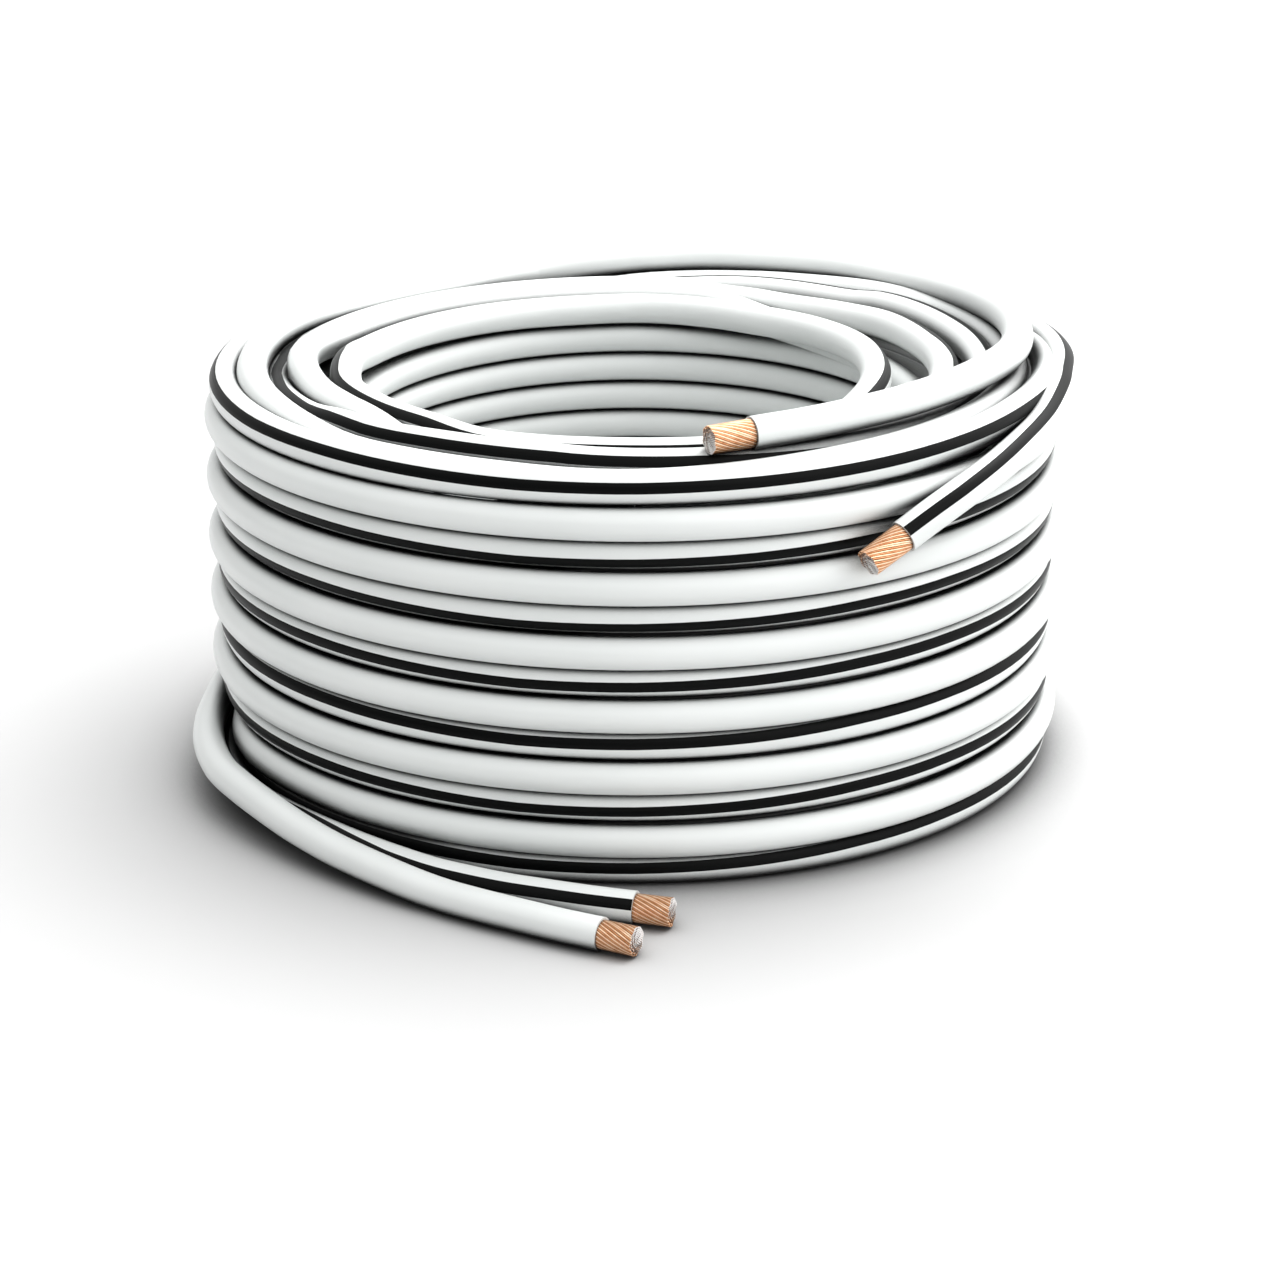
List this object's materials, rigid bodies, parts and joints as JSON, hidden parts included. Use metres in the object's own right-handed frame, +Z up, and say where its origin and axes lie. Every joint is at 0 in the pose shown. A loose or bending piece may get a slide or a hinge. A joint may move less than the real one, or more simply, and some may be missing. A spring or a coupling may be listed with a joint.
{
  "type": "coil of electrical wire",
  "caption": "Twin flat electrical cord wound into a short round coil that lies on its end, with its striped and plain conductors split and stripped to bare strands at both ends",
  "frame": {"origin": "on the floor under the middle of the whole object's box; the coil's own axis is parallel to Z, 12 mm towards +Y of the origin", "axes": "+Z up along the coil's axis, -Y towards the side where the lower ends lie on the floor, +X to the right seen from there"},
  "size_m": [0.1398, 0.1624, 0.0686],
  "materials": {
    "white_jacket": "satin soft PVC",
    "striped_jacket": "satin soft PVC with a black stripe run along it",
    "bare_copper": "bright drawn copper strands"
  },
  "bodies": {
    "root": {"winding": "white_jacket", "inner_turn": "white_jacket", "jacket_lower_plain": "white_jacket", "jacket_lower_striped": "striped_jacket", "jacket_upper_plain": "white_jacket", "jacket_upper_striped": "striped_jacket", "copper_lower_plain": "bare_copper", "copper_lower_striped": "bare_copper", "copper_upper_plain": "bare_copper", "copper_upper_striped": "bare_copper"}
  },
  "joints": []
}
